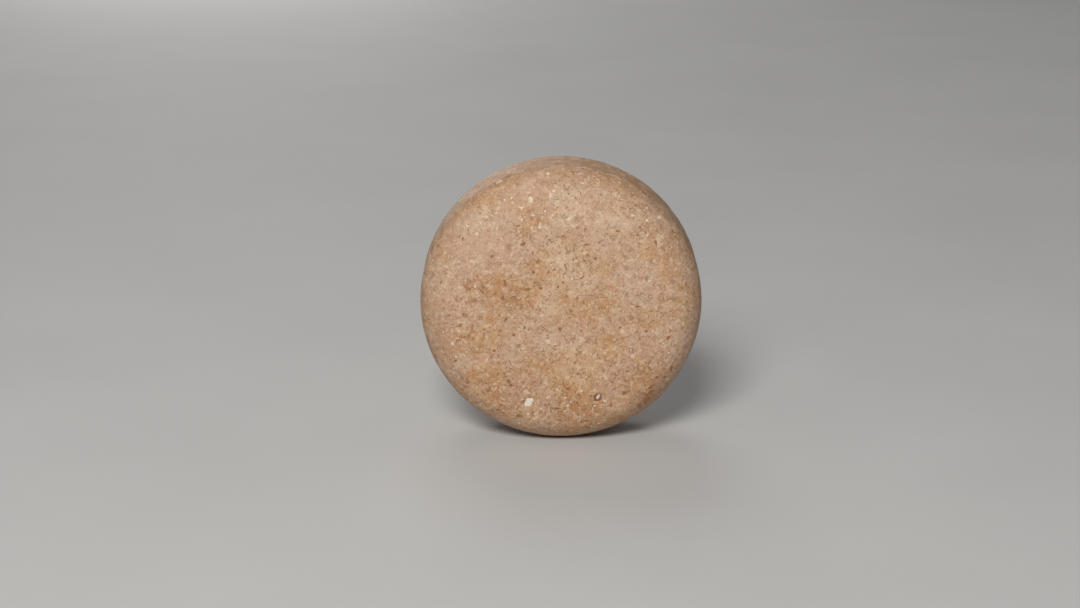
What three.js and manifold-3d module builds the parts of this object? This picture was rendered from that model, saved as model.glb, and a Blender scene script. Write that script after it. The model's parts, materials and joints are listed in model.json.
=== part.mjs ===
// Shaving soap puck: a round pressed block of clay soap that stands on its rim, with crumbs of soap
// base, a seed in its husk and flecks of bran pressed into its skin. Millimetres, +Z up. The puck's
// axis runs along Y, its front face looks towards -Y, and it stands on z = 0 under its own centre.

import * as THREE from 'three';
import { mergeVertices } from 'three/addons/utils/BufferGeometryUtils.js';
import Module from 'manifold-3d';

const wasm = await Module();
wasm.setup();

// ---- Driving dimensions ----

const PUCK_DIAMETER = 70;
const PUCK_THICKNESS = 26;
const RIM_LAND = 8.5;              // straight band round the rim, between the two corners
const SHOULDER_RADIUS = 75;        // shallow crown between each flat middle and its corner
const SHOULDER_FALL = THREE.MathUtils.degToRad(8);   // how far the crown has turned at the corner

const POCKET_GAP = 0.3;            // between a grain and the wall of its pocket
const GRAIN_RECESS = 0.1;          // grains end this far below the puck's skin
const HUSK_WALL = 0.32;

const LATHE_SIDES = 62;            // 4n + 2: a flat facet at the bottom and at the top, a corner at each side
const SHOULDER_STEPS = 2;
const CORNER_STEPS = 5;
const MERGE_DISTANCE = 1e-5;       // corners nearer than this are one corner

const FRONT = -1;                  // the side of the puck that a face is on, along Y
const BACK = 1;

// Grains in the flat middle of a face are placed from the puck's axis, and grains on the crown and
// the corner from its rim. clock is the angle on the face, seen from the front, from the right-hand
// side and anticlockwise; turn is the angle of the grain's long side, counted the same way.
// size is [across, along, depth below the skin].

const WHITE_BASE_GRAIN = { side: FRONT, fromRim: 10.2, clock: -108.7, turn: 61, size: [1.8, 2.8, 1.1] };
const SEED = { side: FRONT, fromRim: 11.1, clock: -67.5, turn: 68, size: [1.9, 2.5, 1.1] };

const CREAM_GRAINS = [
  { side: FRONT, fromAxis: 8.4, clock: -113, turn: 60, size: [1.4, 1.6, 0.8] },
  { side: FRONT, fromAxis: 8.8, clock: 73, turn: 90, size: [0.9, 1.1, 0.6] },
  { side: FRONT, fromAxis: 15.8, clock: -19, turn: 120, size: [1.1, 1.3, 0.7] },
  { side: FRONT, fromRim: 4.6, clock: 93.5, turn: 80, size: [1.2, 1.5, 0.7] },
  { side: FRONT, fromRim: 6.0, clock: 105, turn: 70, size: [1.5, 2.1, 0.9] },
  { side: FRONT, fromRim: 11.5, clock: 85.5, turn: 55, size: [0.9, 1.8, 0.7] },
  { side: FRONT, fromRim: 12.7, clock: 103.5, turn: 75, size: [0.9, 2.0, 0.7] },
  { side: FRONT, fromRim: 6.8, clock: -162.5, turn: 90, size: [1.0, 1.4, 0.7] },
  { side: FRONT, fromRim: 12.2, clock: 20, turn: 0, size: [0.8, 1.1, 0.6] },
  { side: FRONT, fromRim: 4.2, clock: 47.5, turn: -20, size: [0.9, 1.2, 0.7] },
  { side: FRONT, fromRim: 10.5, clock: -86, turn: 90, size: [0.8, 1.3, 0.6] },
];

const BRAN_FLECKS = [
  { side: FRONT, fromAxis: 7.4, clock: 87, turn: 0, size: [0.7, 1.2, 0.5] },
  { side: FRONT, fromAxis: 15.6, clock: 65.5, turn: 20, size: [0.9, 1.2, 0.5] },
  { side: FRONT, fromAxis: 10.1, clock: 146, turn: 5, size: [0.7, 2.0, 0.5] },
  { side: FRONT, fromRim: 5.6, clock: -36, turn: 30, size: [0.9, 1.0, 0.5] },
  { side: FRONT, fromRim: 7.7, clock: -131, turn: 25, size: [1.1, 1.4, 0.6] },
  { side: FRONT, fromRim: 11.4, clock: -178, turn: 0, size: [0.7, 1.6, 0.5] },
  { side: FRONT, fromRim: 12.8, clock: -126, turn: 10, size: [0.9, 1.2, 0.5] },
  { side: FRONT, fromRim: 3.7, clock: -29, turn: 95, size: [0.9, 2.2, 0.6] },
  { side: FRONT, fromRim: 13.6, clock: -13.5, turn: 40, size: [0.8, 1.0, 0.5] },
];

const BACK_CREAM_GRAINS = [
  { side: BACK, fromAxis: 11.5, clock: 38, turn: 70, size: [1.3, 1.7, 0.8] },
  { side: BACK, fromRim: 8.5, clock: 152, turn: 20, size: [1.5, 2.2, 0.9] },
  { side: BACK, fromRim: 10.0, clock: -74, turn: 110, size: [1.0, 1.4, 0.7] },
];

const BACK_BRAN_FLECKS = [
  { side: BACK, fromAxis: 13.0, clock: -141, turn: 30, size: [0.9, 1.5, 0.5] },
  { side: BACK, fromRim: 6.5, clock: 71, turn: 150, size: [0.8, 1.8, 0.5] },
];

// Grains on the rim's straight band are placed by how far they lie from its middle, along Y.

const RIM_CREAM_GRAINS = [
  { across: -1.4, clock: 112, turn: 15, size: [1.0, 1.5, 0.7] },
  { across: 1.6, clock: 14, turn: 70, size: [1.1, 1.5, 0.7] },
];

const RIM_BRAN_FLECKS = [
  { across: -1.0, clock: 71, turn: 40, size: [0.8, 1.4, 0.5] },
  { across: 0.8, clock: 166, turn: -30, size: [0.8, 1.6, 0.5] },
];

// ---- Worked out from the driving dimensions ----

const RIM_RADIUS = PUCK_DIAMETER / 2;
const HALF_THICKNESS = PUCK_THICKNESS / 2;
const HALF_LAND = RIM_LAND / 2;
const CROWN_DROP = SHOULDER_RADIUS * (1 - Math.cos(SHOULDER_FALL));
const CORNER_RADIUS = (HALF_THICKNESS - HALF_LAND - CROWN_DROP) / Math.cos(SHOULDER_FALL);
const CORNER_CENTRE = RIM_RADIUS - CORNER_RADIUS;    // distance of the corner arc's centre from the axis
const SHOULDER_END = CORNER_CENTRE + CORNER_RADIUS * Math.sin(SHOULDER_FALL);
const FLAT_RADIUS = SHOULDER_END - SHOULDER_RADIUS * Math.sin(SHOULDER_FALL);
const STANDING_HEIGHT = RIM_RADIUS * Math.cos(Math.PI / LATHE_SIDES);   // axis above the bottom facet

// ---- Solids: closed geometries in and out of the boolean library ----

// Triangles that have lost a side, such as those of a lathe at its axis, are left out.
function toSolid(geometry) {
  const bare = geometry.clone();
  bare.deleteAttribute('normal');
  bare.deleteAttribute('uv');
  const merged = mergeVertices(bare, MERGE_DISTANCE);
  const corners = merged.index.array;
  const kept = [];
  for (let i = 0; i < corners.length; i += 3) {
    const [a, b, c] = corners.subarray(i, i + 3);
    if (a !== b && b !== c && c !== a) {
      kept.push(a, b, c);
    }
  }
  return new wasm.Manifold(new wasm.Mesh({
    numProp: 3,
    vertProperties: new Float32Array(merged.attributes.position.array),
    triVerts: new Uint32Array(kept),
  }));
}

function toGeometry(solid) {
  const { vertProperties, triVerts } = solid.getMesh();
  const geometry = new THREE.BufferGeometry();
  geometry.setAttribute('position', new THREE.BufferAttribute(new Float32Array(vertProperties), 3));
  geometry.setIndex(new THREE.BufferAttribute(new Uint32Array(triVerts), 1));
  geometry.computeVertexNormals();
  return geometry;
}

// ---- The puck's outline, turned round its axis ----

// From the middle of the front face over the rim to the middle of the back face, moved in by inset.
function puckOutline(inset) {
  const half = [new THREE.Vector2(0, HALF_THICKNESS - inset)];
  const crownCentreY = HALF_THICKNESS - SHOULDER_RADIUS;
  for (let i = 0; i <= SHOULDER_STEPS; i += 1) {
    const angle = (SHOULDER_FALL * i) / SHOULDER_STEPS;
    const reach = SHOULDER_RADIUS - inset;
    half.push(new THREE.Vector2(FLAT_RADIUS + reach * Math.sin(angle), crownCentreY + reach * Math.cos(angle)));
  }
  for (let i = 1; i <= CORNER_STEPS; i += 1) {
    const angle = SHOULDER_FALL + ((Math.PI / 2 - SHOULDER_FALL) * i) / CORNER_STEPS;
    const reach = CORNER_RADIUS - inset;
    half.push(new THREE.Vector2(CORNER_CENTRE + reach * Math.sin(angle), HALF_LAND + reach * Math.cos(angle)));
  }
  const front = half.map((point) => new THREE.Vector2(point.x, -point.y));
  return [...front, ...half.reverse()];
}

// The lathe's last column is laid exactly on its first, so that the turned skin closes.
function puckSolid(inset) {
  const outline = puckOutline(inset);
  const turned = new THREE.LatheGeometry(outline, LATHE_SIDES, Math.PI / LATHE_SIDES);
  const place = turned.attributes.position;
  for (let row = 0; row < outline.length; row += 1) {
    const last = LATHE_SIDES * outline.length + row;
    place.setXYZ(last, place.getX(row), place.getY(row), place.getZ(row));
  }
  return toSolid(turned);
}

// ---- Where a grain sits ----

// Distance from the mid plane and slope of the skin, at a distance from the puck's axis.
function skinAt(radius) {
  if (radius <= FLAT_RADIUS) {
    return { height: HALF_THICKNESS, slope: 0 };
  }
  if (radius <= SHOULDER_END) {
    const slope = Math.asin((radius - FLAT_RADIUS) / SHOULDER_RADIUS);
    return { height: HALF_THICKNESS - SHOULDER_RADIUS * (1 - Math.cos(slope)), slope };
  }
  const slope = Math.asin(Math.min(1, (radius - CORNER_CENTRE) / CORNER_RADIUS));
  return { height: HALF_LAND + CORNER_RADIUS * Math.cos(slope), slope };
}

// A frame on the skin: X across the grain, Y along it, Z out of the puck.
function skinFrame(point, outward, along) {
  const long = along.clone().addScaledVector(outward, -along.dot(outward)).normalize();
  const across = new THREE.Vector3().crossVectors(long, outward);
  return new THREE.Matrix4().makeBasis(across, long, outward).setPosition(point);
}

function faceSeat({ side, fromAxis, fromRim, clock, turn }) {
  const radius = fromAxis ?? RIM_RADIUS - fromRim;
  const { height, slope } = skinAt(radius);
  const clockAngle = THREE.MathUtils.degToRad(clock);
  const turnAngle = THREE.MathUtils.degToRad(turn);
  const radial = new THREE.Vector3(Math.cos(clockAngle), 0, Math.sin(clockAngle));
  const point = radial.clone().multiplyScalar(radius).setY(side * height);
  const outward = radial.clone().multiplyScalar(Math.sin(slope)).setY(side * Math.cos(slope));
  return skinFrame(point, outward, new THREE.Vector3(Math.cos(turnAngle), 0, Math.sin(turnAngle)));
}

function rimSeat({ across, clock, turn }) {
  const clockAngle = THREE.MathUtils.degToRad(clock);
  const turnAngle = THREE.MathUtils.degToRad(turn);
  const outward = new THREE.Vector3(Math.cos(clockAngle), 0, Math.sin(clockAngle));
  const point = outward.clone().multiplyScalar(RIM_RADIUS).setY(across);
  const around = new THREE.Vector3(-Math.sin(clockAngle), 0, Math.cos(clockAngle));
  const along = around.multiplyScalar(Math.cos(turnAngle)).setY(Math.sin(turnAngle));
  return skinFrame(point, outward, along);
}

// ---- Grains and their pockets ----

// A faceted lump round a point of the skin, grown by extra on every side.
function lump(seat, [across, along, depth], extra) {
  const geometry = new THREE.IcosahedronGeometry(1, 1);
  geometry.scale(across / 2 + extra, along / 2 + extra, depth + extra);
  geometry.applyMatrix4(seat);
  return toSolid(geometry);
}

let soapBody = puckSolid(0);
const grainSpace = puckSolid(GRAIN_RECESS);
const puck = new THREE.Group();

function addPiece(name, solid, material) {
  const mesh = new THREE.Mesh(toGeometry(solid), material);
  mesh.name = name;
  puck.add(mesh);
}

function pressIn(name, seat, size, material) {
  soapBody = soapBody.subtract(lump(seat, size, POCKET_GAP));
  addPiece(name, lump(seat, size, 0).intersect(grainSpace), material);
}

// The husk is an open shell round its kernel, cut off level with the skin.
function pressInSeed(seat, size, huskMaterial, kernelMaterial) {
  const kernelInset = -(HUSK_WALL + POCKET_GAP);
  const husk = lump(seat, size, 0).subtract(lump(seat, size, -HUSK_WALL));
  soapBody = soapBody.subtract(lump(seat, size, POCKET_GAP));
  addPiece('seed_husk', husk.intersect(grainSpace), huskMaterial);
  addPiece('seed_kernel', lump(seat, size, kernelInset).intersect(grainSpace), kernelMaterial);
}

function pressInAll(prefix, grains, seatOf, material) {
  grains.forEach((grain, index) => {
    pressIn(`${prefix}_${index + 1}`, seatOf(grain), grain.size, material);
  });
}

// ---- Materials ----

const soapMaterial = new THREE.MeshStandardMaterial({ color: 0xb9987a, roughness: 0.62, metalness: 0 });
const whiteMaterial = new THREE.MeshStandardMaterial({ color: 0xe9dfcf, roughness: 0.55, metalness: 0 });
const creamMaterial = new THREE.MeshStandardMaterial({ color: 0xd6bd9c, roughness: 0.58, metalness: 0 });
const branMaterial = new THREE.MeshStandardMaterial({ color: 0x6f4930, roughness: 0.7, metalness: 0 });
const huskMaterial = new THREE.MeshStandardMaterial({ color: 0x5a3c28, roughness: 0.65, metalness: 0 });
const kernelMaterial = new THREE.MeshStandardMaterial({ color: 0xc9ad88, roughness: 0.6, metalness: 0 });

// ---- Assembly ----

pressIn('white_base_grain', faceSeat(WHITE_BASE_GRAIN), WHITE_BASE_GRAIN.size, whiteMaterial);
pressInSeed(faceSeat(SEED), SEED.size, huskMaterial, kernelMaterial);
pressInAll('cream_grain', CREAM_GRAINS, faceSeat, creamMaterial);
pressInAll('bran_fleck', BRAN_FLECKS, faceSeat, branMaterial);
pressInAll('cream_grain_back', BACK_CREAM_GRAINS, faceSeat, creamMaterial);
pressInAll('bran_fleck_back', BACK_BRAN_FLECKS, faceSeat, branMaterial);
pressInAll('cream_grain_rim', RIM_CREAM_GRAINS, rimSeat, creamMaterial);
pressInAll('bran_fleck_rim', RIM_BRAN_FLECKS, rimSeat, branMaterial);
addPiece('soap_body', soapBody, soapMaterial);

puck.position.z = STANDING_HEIGHT;

export default puck;
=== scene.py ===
# %% [markdown]
# # A puck of pressed shaving soap
#
# The real thing is a block of clay soap, about as wide as a palm, that was ground to crumbs, mixed with
# bran and unground soap base, and squeezed in a round die. It stands on its rim. This lesson builds the
# block and its worn skin, then what is pressed into it, and at last its colours. We start from the
# measured model, because every size and place comes from there.

# %% Load the measured model
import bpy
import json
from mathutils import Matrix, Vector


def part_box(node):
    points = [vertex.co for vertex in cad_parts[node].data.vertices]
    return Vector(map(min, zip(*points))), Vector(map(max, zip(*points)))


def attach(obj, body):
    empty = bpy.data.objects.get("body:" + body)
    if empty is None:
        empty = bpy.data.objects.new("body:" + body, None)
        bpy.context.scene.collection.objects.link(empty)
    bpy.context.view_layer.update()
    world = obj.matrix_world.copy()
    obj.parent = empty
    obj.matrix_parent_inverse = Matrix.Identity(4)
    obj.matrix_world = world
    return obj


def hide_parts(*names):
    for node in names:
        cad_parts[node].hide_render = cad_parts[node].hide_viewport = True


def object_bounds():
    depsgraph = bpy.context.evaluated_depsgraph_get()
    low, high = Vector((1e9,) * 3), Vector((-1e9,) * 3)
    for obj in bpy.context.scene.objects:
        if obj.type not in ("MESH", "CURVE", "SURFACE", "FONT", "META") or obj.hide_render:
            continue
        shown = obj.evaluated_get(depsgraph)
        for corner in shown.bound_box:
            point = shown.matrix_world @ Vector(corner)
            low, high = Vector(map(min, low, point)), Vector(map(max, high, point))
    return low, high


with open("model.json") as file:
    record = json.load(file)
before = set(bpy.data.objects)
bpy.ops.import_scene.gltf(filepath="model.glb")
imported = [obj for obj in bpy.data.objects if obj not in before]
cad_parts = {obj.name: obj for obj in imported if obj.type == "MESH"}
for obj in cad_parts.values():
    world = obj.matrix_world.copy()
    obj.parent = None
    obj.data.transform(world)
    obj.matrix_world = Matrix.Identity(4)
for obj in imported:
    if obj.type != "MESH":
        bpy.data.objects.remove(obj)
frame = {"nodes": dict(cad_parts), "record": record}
cad_low, cad_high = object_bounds()
print("measured box, metres:", tuple(round(value, 4) for value in (*cad_low, *cad_high)))

# %% Tools used all through the lesson
import json
import math
import random

import bmesh
import bpy
import numpy as np
from mathutils import Matrix, Vector, noise

MM = 0.001  # one millimetre, in Blender's metres

# %% [markdown]
# ## The puck's outline
#
# A pressed puck is a turned shape: a flat middle, a very shallow crown, a rounded corner and a straight
# band round the rim. Its width, thickness and middle are read from the measured block. Only the sizes
# that a box can't tell are written here. From now on we work in millimetres from the puck's middle,
# with the axis along Y and the front face towards -Y, because small numbers are easier to read.

# %% Measure the block and work out its arcs
block_low, block_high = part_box("soap_body")
MIDDLE = (block_low + block_high) / 2
RIM_RADIUS = (block_high.x - block_low.x) / 2 / MM
HALF_THICKNESS = (block_high.y - block_low.y) / 2 / MM
HALF_LAND = 8.5 / 2                 # half the straight band round the rim
CROWN_RADIUS = 75.0
CROWN_FALL = math.radians(8)        # how far the crown has turned where the corner takes over
CROWN_CENTRE = HALF_THICKNESS - CROWN_RADIUS
CORNER_RADIUS = (CROWN_CENTRE + CROWN_RADIUS * math.cos(CROWN_FALL) - HALF_LAND) / math.cos(CROWN_FALL)
CORNER_CENTRE = RIM_RADIUS - CORNER_RADIUS
FLAT_RADIUS = CORNER_CENTRE + (CORNER_RADIUS - CROWN_RADIUS) * math.sin(CROWN_FALL)
print(f"rim radius {RIM_RADIUS:.2f}, corner radius {CORNER_RADIUS:.2f}, flat middle {FLAT_RADIUS:.2f} mm")


# %% [markdown]
# One function answers the question that everything below asks: for a point near the puck, where is the
# smooth skin under it, and which way does that skin face? Because the outline is only lines and arcs,
# the answer is exact, and numpy gives it for a hundred thousand points at once.

# %% The nearest point of the smooth skin
def nearest_skin(points):
    """The foot of each point on the smooth outline, and the outward direction there."""
    radial = np.hypot(points[:, 0], points[:, 2])
    height = np.abs(points[:, 1])
    corner_turn = np.arctan2(radial - CORNER_CENTRE, height - HALF_LAND)
    crown_turn = np.arctan2(radial - FLAT_RADIUS, height - CROWN_CENTRE)
    on_corner = corner_turn >= CROWN_FALL
    turn = np.clip(np.where(on_corner, corner_turn, crown_turn), 0, math.pi / 2)
    foot_radial = np.where(on_corner, CORNER_CENTRE + CORNER_RADIUS * np.sin(turn),
                           FLAT_RADIUS + CROWN_RADIUS * np.sin(turn))
    foot_height = np.where(on_corner, HALF_LAND + CORNER_RADIUS * np.cos(turn),
                           CROWN_CENTRE + CROWN_RADIUS * np.cos(turn))
    foot_radial = np.where(turn == 0, radial, foot_radial)
    foot_height = np.where(on_corner & (height < HALF_LAND), height, foot_height)
    safe = np.maximum(radial, 1e-6)
    spoke_x, spoke_z = points[:, 0] / safe, points[:, 2] / safe
    side = np.where(points[:, 1] < 0, -1.0, 1.0)
    feet = np.column_stack([spoke_x * foot_radial, side * foot_height, spoke_z * foot_radial])
    outward = np.column_stack([spoke_x * np.sin(turn), side * np.cos(turn), spoke_z * np.sin(turn)])
    return feet, outward


probe_feet, _ = nearest_skin(np.array([[0.0, -20.0, 0.0], [30.0, -12.0, 0.0], [40.0, 1.0, 0.0]]))
print("feet of three test points:", probe_feet.round(2).tolist())

# %% [markdown]
# ## How the skin departs from the smooth outline
#
# A die leaves a smooth skin, but the mix under it isn't even: it settles in broad shallow swells, and
# where crumbs of the mix were loose, they have fallen out and left scoops. The corner is knocked most.
# All of it goes inwards, so the block never grows past its measured size. Fractal noise gives the
# swells, and only the peaks of a second noise are kept as scoops. It is a formula and not sculpted,
# because the grains ask later how deep the skin lies at a point.

# %% Depth of the skin under the smooth outline
SKIN_SETBACK = 0.05     # the whole skin lies this far inside the measured block
SWELL_DEPTH, SWELL_SIZE = 0.12, 15.0
RIPPLE_DEPTH, RIPPLE_SIZE = 0.05, 2.6
SCOOP_DEPTH, SCOOP_SIZE, SCOOP_START = 0.34, 1.9, 0.42      # only noise above the start makes a scoop
CORNER_WEAR, KNOCK_SIZE, KNOCK_START = 0.22, 3.4, 0.12


def fractal_noise(points, size, octaves, shift):
    """Fractal noise between about -1 and 1, with lumps of the given size in millimetres."""
    offset = Vector((shift, 2.3 * shift, -1.7 * shift))
    return np.array([noise.fractal(Vector(point) / size + offset, 1.0, 2.0, octaves) for point in points])


def skin_depth(feet, outward):
    """How deep the skin lies under the smooth outline at these feet, in millimetres."""
    swell = 0.5 + 0.5 * fractal_noise(feet, SWELL_SIZE, 2, 3.1)
    ripple = 0.5 + 0.5 * fractal_noise(feet, RIPPLE_SIZE, 3, 8.4)
    scoop = np.clip(fractal_noise(feet, SCOOP_SIZE, 2, 15.2) - SCOOP_START, 0, 1)
    knock = np.clip(fractal_noise(feet, KNOCK_SIZE, 3, 21.7) - KNOCK_START, 0, 1)
    corner = np.clip(np.hypot(outward[:, 0], outward[:, 2]) * 1.5 - 0.5, 0, 1)
    depth = SWELL_DEPTH * swell + RIPPLE_DEPTH * ripple
    depth += SCOOP_DEPTH * scoop + CORNER_WEAR * corner * knock
    return SKIN_SETBACK + np.clip(depth, 0, None)


# %% [markdown]
# ## The block
#
# We turn the outline round the axis, then let the Remesh modifier rebuild it from small cubes. A turned
# mesh has needles at the middle; a remeshed one has even quads that can carry relief anywhere. The cubes
# leave faint steps, so every corner is then laid exactly on the smooth outline and pushed in by the
# skin's depth.

# %% Helpers for making and settling pieces
def new_piece(name, mesh):
    piece = bpy.data.objects.new(name, mesh)
    bpy.context.scene.collection.objects.link(piece)
    return piece


def settle(piece):
    """Turns a piece's modifiers into real mesh."""
    graph = bpy.context.evaluated_depsgraph_get()
    mesh = bpy.data.meshes.new_from_object(piece.evaluated_get(graph))
    old = piece.data
    piece.modifiers.clear()
    piece.data = mesh
    bpy.data.meshes.remove(old)


def read_points(mesh):
    """A mesh's corners in millimetres from the puck's middle."""
    flat = np.empty(len(mesh.vertices) * 3)
    mesh.vertices.foreach_get("co", flat)
    return (flat.reshape(-1, 3) - np.array(MIDDLE)) / MM


def write_points(mesh, points):
    mesh.vertices.foreach_set("co", (points * MM + np.array(MIDDLE)).ravel())
    mesh.update()


# %% Turn the outline and remesh it
TURN_STEPS = 180
ARC_STEPS = 16
CUBE = 0.44  # edge of the remeshed quads


def half_outline():
    """The outline from the middle of the front face to the end of the corner."""
    points = [(0.0, -HALF_THICKNESS)]
    for step in range(ARC_STEPS + 1):
        turn = CROWN_FALL * step / ARC_STEPS
        points.append((FLAT_RADIUS + CROWN_RADIUS * math.sin(turn),
                       -CROWN_CENTRE - CROWN_RADIUS * math.cos(turn)))
    for step in range(1, ARC_STEPS + 1):
        turn = CROWN_FALL + (math.pi / 2 - CROWN_FALL) * step / ARC_STEPS
        points.append((CORNER_CENTRE + CORNER_RADIUS * math.sin(turn),
                       -HALF_LAND - CORNER_RADIUS * math.cos(turn)))
    return points


def turned_block():
    front = half_outline()
    outline = front + [(radius, -height) for radius, height in reversed(front)]
    build = bmesh.new()
    corners = [build.verts.new(Vector((radius, height, 0)) * MM + MIDDLE) for radius, height in outline]
    edges = [build.edges.new(pair) for pair in zip(corners, corners[1:])]
    bmesh.ops.spin(build, geom=corners + edges, cent=MIDDLE, axis=(0, 1, 0), angle=2 * math.pi,
                   steps=TURN_STEPS, use_merge=True)
    bmesh.ops.remove_doubles(build, verts=build.verts, dist=0.001 * MM)
    bmesh.ops.recalc_face_normals(build, faces=build.faces)
    mesh = bpy.data.meshes.new("turned_block")
    build.to_mesh(mesh)
    build.free()
    return mesh


soap_block = new_piece("pressed_soap_block", turned_block())
remesh = soap_block.modifiers.new("even quads", "REMESH")
remesh.mode = "VOXEL"
remesh.voxel_size = CUBE * MM
settle(soap_block)
block_feet, block_outward = nearest_skin(read_points(soap_block.data))
block_depth = skin_depth(block_feet, block_outward)
write_points(soap_block.data, block_feet - block_outward * block_depth[:, None])
print("block faces:", len(soap_block.data.polygons), "deepest skin:", round(float(block_depth.max()), 3))

# %% [markdown]
# ## Seats: where something meets the skin
#
# Each grain, fleck and pore needs a point on the worn skin, the way out of the soap, and the direction of
# its long side. A 4 by 4 matrix holds all three. For a grain of the measured model they are read from its
# solid: the middle of its top is the point, and that top spreads most along its long side. For finer
# matter the seat is made from a place on the face.

# %% Seats on the worn skin
TOP_BAND = 0.05     # corners this near the highest one, in millimetres, belong to a solid's top


def seat_at(point, long_side):
    """A matrix from a grain's own millimetres to the puck's: X across, Y along, Z out of the soap."""
    feet, outward = nearest_skin(np.array([point]))
    depth = skin_depth(feet, outward)[0]
    out = Vector(outward[0])
    along = Vector(long_side)
    along = (along - out * along.dot(out)).normalized()
    across = along.cross(out)
    seat = Matrix((across, along, out)).transposed().to_4x4()
    seat.translation = Vector(feet[0]) - out * depth
    return seat


def seat_of_node(node):
    """The seat of a measured grain, with half its width, half its length and its depth."""
    points = read_points(frame["nodes"][node].data)
    feet, outward = nearest_skin(points)
    sunk = ((feet - points) * outward).sum(axis=1)
    top = points[sunk < sunk.min() + TOP_BAND]
    centre = (top.max(axis=0) + top.min(axis=0)) / 2
    spread = np.linalg.svd(top - top.mean(axis=0), full_matrices=False)[2]
    seat = seat_at(centre, spread[0])
    own = np.array([seat.inverted() @ Vector(point) for point in top])
    half_width, half_length = np.abs(own).max(axis=0)[:2]
    return seat, half_width, half_length, sunk.max()


GRAIN_NODES = sorted(node for node in frame["nodes"] if node != "soap_body")
grain_seats = {node: seat_of_node(node) for node in GRAIN_NODES}
for node in ("white_base_grain", "seed_husk", "bran_fleck_3"):
    _, half_width, half_length, deep = grain_seats[node]
    print(node, f"{2 * half_width:.2f} x {2 * half_length:.2f} mm, {deep:.2f} mm deep")


# %% [markdown]
# ## Crumbs
#
# Soap base and bran break along flats. A crumb here is a fine icosphere whose reach in each direction is
# cut short by a handful of chance planes, and then roughened a little. It is scaled at the end to fill
# its measured size. The same seed gives the same crumb, so the pocket in the soap can be cut by the
# crumb's own shape, a hair larger.

# %% A crumb from an icosphere and a few flats
FLAT_NEAREST, FLAT_FARTHEST = 0.74, 0.96    # how far the planes lie from the middle of a unit ball
ROUGHNESS_LUMPS = 2.6


def chance_flats(count, seed):
    """Planes round a unit ball: the way each faces, and how far it is from the middle."""
    dice = random.Random(seed)
    planes = []
    for _ in range(count):
        heading = dice.uniform(0, 2 * math.pi)
        normal = Vector((math.cos(heading), math.sin(heading), dice.uniform(-0.5, 0.5))).normalized()
        planes.append((normal, dice.uniform(FLAT_NEAREST, FLAT_FARTHEST)))
    return planes


def add_crumb(build, seat, half_sizes, seed, flats=7, rounds=3, rough=0.05):
    """Adds one crumb to a bmesh. half_sizes are half its width, half its length and its depth, in mm.

    flats is how many chance planes cut it, or a list of chosen planes.
    """
    planes = chance_flats(flats, seed) if isinstance(flats, int) else flats
    shift = Vector((seed * 0.37, seed * 0.91, seed * 0.53))
    ball = bmesh.ops.create_icosphere(build, subdivisions=rounds, radius=1.0)
    corners = ball["verts"]
    shape = np.empty((len(corners), 3))
    for number, corner in enumerate(corners):
        way = corner.co.normalized()
        facing = [(way.dot(normal), height) for normal, height in planes]
        reach = min([1.0] + [height / share for share, height in facing if share > 0.1])
        shape[number] = way * (reach * (1 + rough * noise.noise(way * ROUGHNESS_LUMPS + shift)))
    shape *= np.array(half_sizes) / np.abs(shape).max(axis=0)
    for corner, own in zip(corners, shape):
        corner.co = (seat @ Vector(own)) * MM + MIDDLE


def finished_mesh(build, name):
    """The bmesh as a mesh with its faces out."""
    bmesh.ops.recalc_face_normals(build, faces=build.faces)
    mesh = bpy.data.meshes.new(name)
    build.to_mesh(mesh)
    build.free()
    return mesh


def combine(piece, tool, operation):
    """Cuts a piece by a tool, or keeps only what is inside the tool."""
    step = piece.modifiers.new("combine", "BOOLEAN")
    step.object = tool
    step.operation = operation
    step.solver = "MANIFOLD"
    settle(piece)


def discard(piece):
    bpy.data.objects.remove(piece)


# %% [markdown]
# ## Grains bedded flush in the soap
#
# The die levels whatever lies at the surface, so a grain's top is part of the puck's own skin. Each
# crumb is therefore cut by a copy of the worn block, lowered by a hair so that the seam shows. The
# Manifold solver of the Boolean modifier does that in a moment, even on a mesh this fine.
#
# Soap smears over the edge of what is pressed into it. So each corner of a grain also stores how firmly
# it belongs to the grain, and the material will let the soap's own colour through where that is low.

# %% Cut the grains level with the skin
SEAM = 0.02            # grains end this far under the skin
POCKET_ROOM = 0.03     # the pocket is this much larger than its grain
GRAIN_OVERLAP = 0.05   # the top was measured a little under the skin, where a grain is narrower

# How firm a grain is in its middle. Two bran flecks are smeared over more than the rest, and one less.
USUAL_FIRMNESS = 0.8
FIRMNESS = {"bran_fleck_1": 0.6, "bran_fleck_2": 0.5, "bran_fleck_3": 0.9}
SMEARED_FROM, SMEARED_WIDTH = 1.04, 0.3     # 1 is the grain's edge: from there inwards it grows firm

level_tool = new_piece("level_tool", soap_block.data.copy())
write_points(level_tool.data, block_feet - block_outward * (block_depth + SEAM)[:, None])


def crumb_piece(name, seat, half_sizes, seed, **shape):
    build = bmesh.new()
    add_crumb(build, seat, half_sizes, seed, **shape)
    return new_piece(name, finished_mesh(build, name))


def node_seed(node):
    """A number of its own for each node, the same on every run."""
    return sum((place + 1) * ord(letter) for place, letter in enumerate(node))


# The white chip is a leaning slab: two long sides, and a top and bottom edge that slope against them.
LONG_SIDE, SLOPED_END = Vector((1, 0, 0)), Vector((-0.33, 0.94, 0.1))
CHIP_FLATS = [(LONG_SIDE, 0.74), (-LONG_SIDE, 0.70), (SLOPED_END, 0.78), (-SLOPED_END, 0.72)]


def store(piece, name, values):
    """Gives each corner of a piece a number for its material to read."""
    piece.data.attributes.new(name, "FLOAT", "POINT").data.foreach_set("value", values)


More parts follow.
